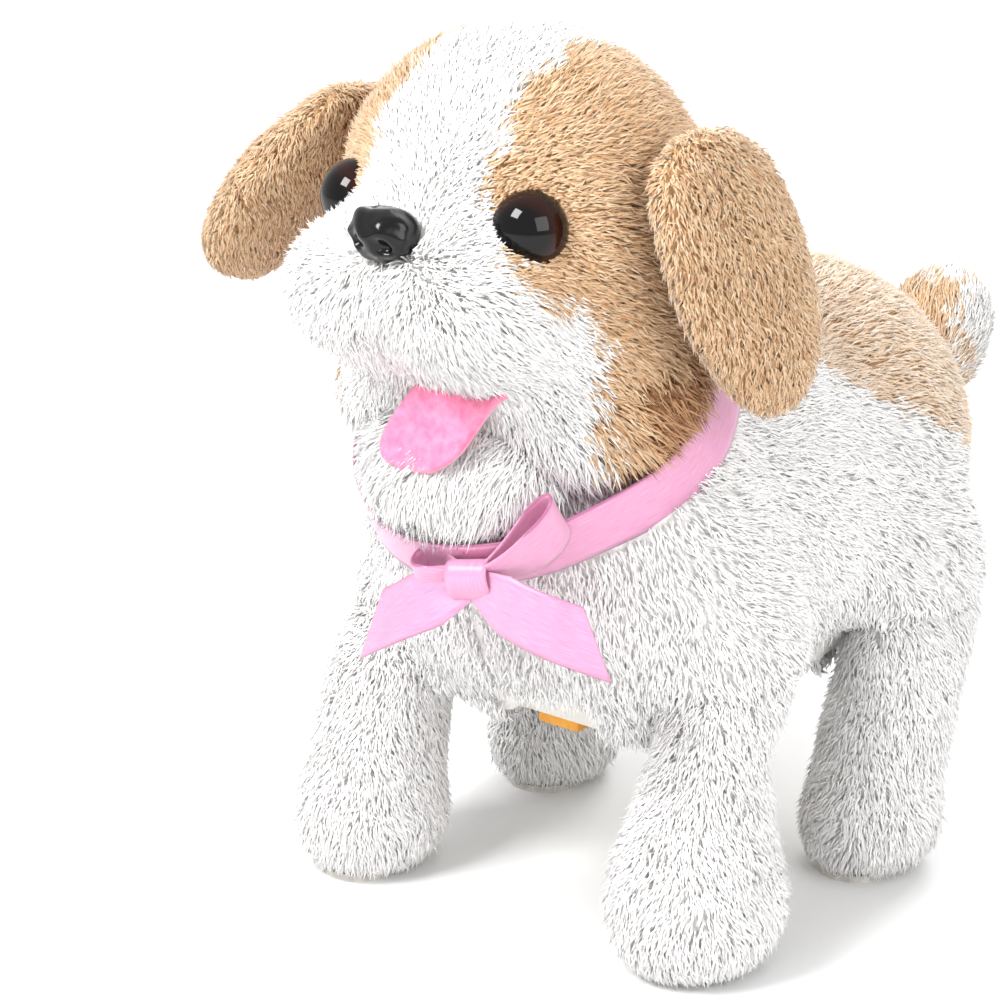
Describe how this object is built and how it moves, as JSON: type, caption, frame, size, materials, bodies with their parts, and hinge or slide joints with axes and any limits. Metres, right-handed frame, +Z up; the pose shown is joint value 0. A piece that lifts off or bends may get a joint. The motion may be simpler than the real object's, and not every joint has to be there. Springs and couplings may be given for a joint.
{
  "type": "walking plush puppy",
  "caption": "Battery-powered walking plush puppy with a geared leg drive, nodding head, opening jaw with felt tongue, floppy ears, wagging tail, satin bow and a slide switch under its belly",
  "frame": {"origin": "on the floor, under the middle of the four soles' stance and on the puppy's plane of symmetry", "axes": "+Z up; the puppy looks towards -Y; its left side is +X; +Y runs along its back towards the tail"},
  "size_m": [0.1385, 0.1943, 0.1832],
  "materials": {
    "white_abs": "moulded",
    "steel": "plated",
    "cell_sleeve": "printed sleeve",
    "nylon_gear": "moulded",
    "black_abs": "moulded",
    "yellow_knob": "moulded",
    "board": "solder mask",
    "white_plush": "pile plush",
    "tan_plush": "pile plush",
    "sole_felt": "felt",
    "black_gloss": "polished",
    "tongue_felt": "felt",
    "satin_ribbon": "satin weave"
  },
  "bodies": {
    "root": {"chassis_left": "white_abs", "chassis_right": "white_abs", "chassis_screws": "steel", "battery_door": "white_abs", "battery_door_screw": "steel", "aa_cells": "cell_sleeve", "contact_springs": "steel", "contact_strip": "steel", "motor": "steel", "gearbox_plate": "steel", "gear_axles": "steel", "switch_body": "black_abs", "sound_board": "board", "speaker": "black_abs", "neck_post": "white_abs", "tail_bracket": "white_abs", "tail_pin": "steel", "leg_pivot_screws": "steel", "body_cover": "white_plush", "ribbon_collar": "satin_ribbon", "ribbon_knot": "satin_ribbon", "ribbon_bow": "satin_ribbon"},
    "switch": {"switch_knob": "yellow_knob"},
    "pinion": {"motor_pinion": "nylon_gear"},
    "first_wheel": {"gear_first": "nylon_gear"},
    "second_wheel": {"gear_second": "nylon_gear"},
    "crank": {"final_gear": "nylon_gear", "crank_axle": "steel", "crank_disc_left": "nylon_gear", "crank_disc_right": "nylon_gear"},
    "leg_front_left": {"leg_lever_front_left": "white_abs", "leg_cover_front_left": "white_plush", "sole_front_left": "sole_felt"},
    "leg_front_right": {"leg_lever_front_right": "white_abs", "leg_cover_front_right": "white_plush", "sole_front_right": "sole_felt"},
    "leg_hind_left": {"leg_lever_hind_left": "white_abs", "leg_cover_hind_left": "white_plush", "sole_hind_left": "sole_felt"},
    "leg_hind_right": {"leg_lever_hind_right": "white_abs", "leg_cover_hind_right": "white_plush", "sole_hind_right": "sole_felt"},
    "rod_left": {"link_rod_left": "nylon_gear"},
    "rod_right": {"link_rod_right": "nylon_gear"},
    "head": {"head_frame": "white_abs", "neck_pin": "steel", "jaw_pin": "steel", "head_cover": "white_plush", "eye_left": "black_gloss", "eye_right": "black_gloss", "eye_washers": "white_abs", "nose": "black_gloss"},
    "jaw": {"jaw_frame": "white_abs", "jaw_cover": "white_plush", "tongue": "tongue_felt"},
    "ear_flap_left": {"ear_left": "tan_plush"},
    "ear_flap_right": {"ear_right": "tan_plush"},
    "tail": {"tail_lever": "white_abs", "tail_cover": "tan_plush"}
  },
  "joints": [
    {"name": "front_left_leg_swing", "type": "hinge", "parent": "root", "child": "leg_front_left", "pos_m": [0.026, -0.037, 0.06], "axis": [1, 0, 0], "range_deg": [-10, 10]},
    {"name": "front_right_leg_swing", "type": "hinge", "parent": "root", "child": "leg_front_right", "pos_m": [-0.026, -0.037, 0.06], "axis": [1, 0, 0], "range_deg": [-10, 10]},
    {"name": "hind_left_leg_swing", "type": "hinge", "parent": "root", "child": "leg_hind_left", "pos_m": [0.026, 0.023, 0.06], "axis": [1, 0, 0], "range_deg": [-10, 10]},
    {"name": "hind_right_leg_swing", "type": "hinge", "parent": "root", "child": "leg_hind_right", "pos_m": [-0.026, 0.023, 0.06], "axis": [1, 0, 0], "range_deg": [-10, 10]},
    {"name": "left_rod_pivot", "type": "hinge", "parent": "leg_front_left", "child": "rod_left", "pos_m": [0.0295, -0.037, 0.078], "axis": [1, 0, 0], "range_deg": [-10, 10]},
    {"name": "right_rod_pivot", "type": "hinge", "parent": "leg_front_right", "child": "rod_right", "pos_m": [-0.0295, -0.037, 0.078], "axis": [1, 0, 0], "range_deg": [-10, 10]},
    {"name": "crank_spin", "type": "hinge", "parent": "root", "child": "crank", "pos_m": [0, -0.007, 0.078], "axis": [1, 0, 0], "continuous": true},
    {"name": "second_wheel_spin", "type": "hinge", "parent": "root", "child": "second_wheel", "pos_m": [0, 0.0046, 0.078], "axis": [1, 0, 0], "continuous": true},
    {"name": "first_wheel_spin", "type": "hinge", "parent": "root", "child": "first_wheel", "pos_m": [0, 0.01267, 0.07192], "axis": [1, 0, 0], "continuous": true},
    {"name": "pinion_spin", "type": "hinge", "parent": "root", "child": "pinion", "pos_m": [0, 0.02242, 0.07454], "axis": [1, 0, 0], "continuous": true},
    {"name": "head_nod", "type": "hinge", "parent": "root", "child": "head", "pos_m": [0, -0.046, 0.126], "axis": [-1, 0, 0], "range_deg": [0, 6]},
    {"name": "jaw_close", "type": "hinge", "parent": "head", "child": "jaw", "pos_m": [0, -0.06, 0.115], "axis": [-1, 0, 0], "range_deg": [0, 6]},
    {"name": "left_ear_lift", "type": "hinge", "parent": "head", "child": "ear_flap_left", "pos_m": [0.04, -0.054, 0.167], "axis": [0, -1, 0], "range_deg": [0, 50]},
    {"name": "right_ear_lift", "type": "hinge", "parent": "head", "child": "ear_flap_right", "pos_m": [-0.04, -0.054, 0.167], "axis": [0, 1, 0], "range_deg": [0, 40]},
    {"name": "tail_wag", "type": "hinge", "parent": "root", "child": "tail", "pos_m": [0, 0.048, 0.086], "axis": [0, 0, 1], "range_deg": [-8, 26]},
    {"name": "switch_slide", "type": "slide", "parent": "root", "child": "switch", "axis": [0, 1, 0], "range_m": [0, 0.004]}
  ],
  "couplings": [
    {"joint": "hind_left_leg_swing", "follows": "front_left_leg_swing", "ratio": 1},
    {"joint": "front_right_leg_swing", "follows": "front_left_leg_swing", "ratio": -1},
    {"joint": "hind_right_leg_swing", "follows": "front_left_leg_swing", "ratio": -1},
    {"joint": "left_rod_pivot", "follows": "front_left_leg_swing", "ratio": -1},
    {"joint": "right_rod_pivot", "follows": "front_left_leg_swing", "ratio": 1},
    {"joint": "second_wheel_spin", "follows": "crank_spin", "ratio": -3.6},
    {"joint": "first_wheel_spin", "follows": "crank_spin", "ratio": 10.8},
    {"joint": "pinion_spin", "follows": "crank_spin", "ratio": -43.2}
  ]
}
